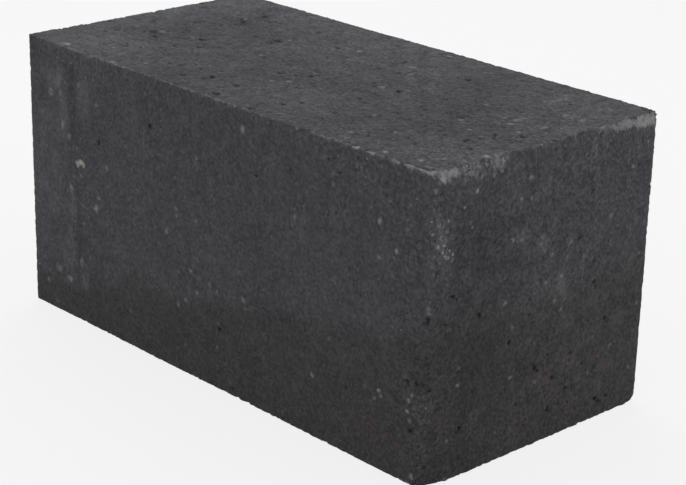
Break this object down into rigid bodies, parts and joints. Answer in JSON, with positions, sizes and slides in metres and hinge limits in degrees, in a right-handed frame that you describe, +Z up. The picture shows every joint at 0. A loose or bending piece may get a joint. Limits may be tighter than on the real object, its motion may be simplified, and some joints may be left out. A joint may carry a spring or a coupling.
{
  "type": "garden wall block",
  "caption": "Solid oblong concrete block, twice as long as it is wide and high, laid dry or in mortar in courses to make low garden walls, steps and bed edging.",
  "frame": {"origin": "middle of the bed face, which lies on the floor", "axes": "+X along the length, towards the end with the worn corners; -Y towards the long face that the picture shows; +Z up"},
  "size_m": [0.3, 0.15, 0.15],
  "materials": {
    "anthracite_concrete": "matt pressed concrete, through-coloured anthracite, with open grain, small pits and pale scuffs on the edges"
  },
  "bodies": {
    "root": {"wall_block": "anthracite_concrete"}
  },
  "joints": []
}
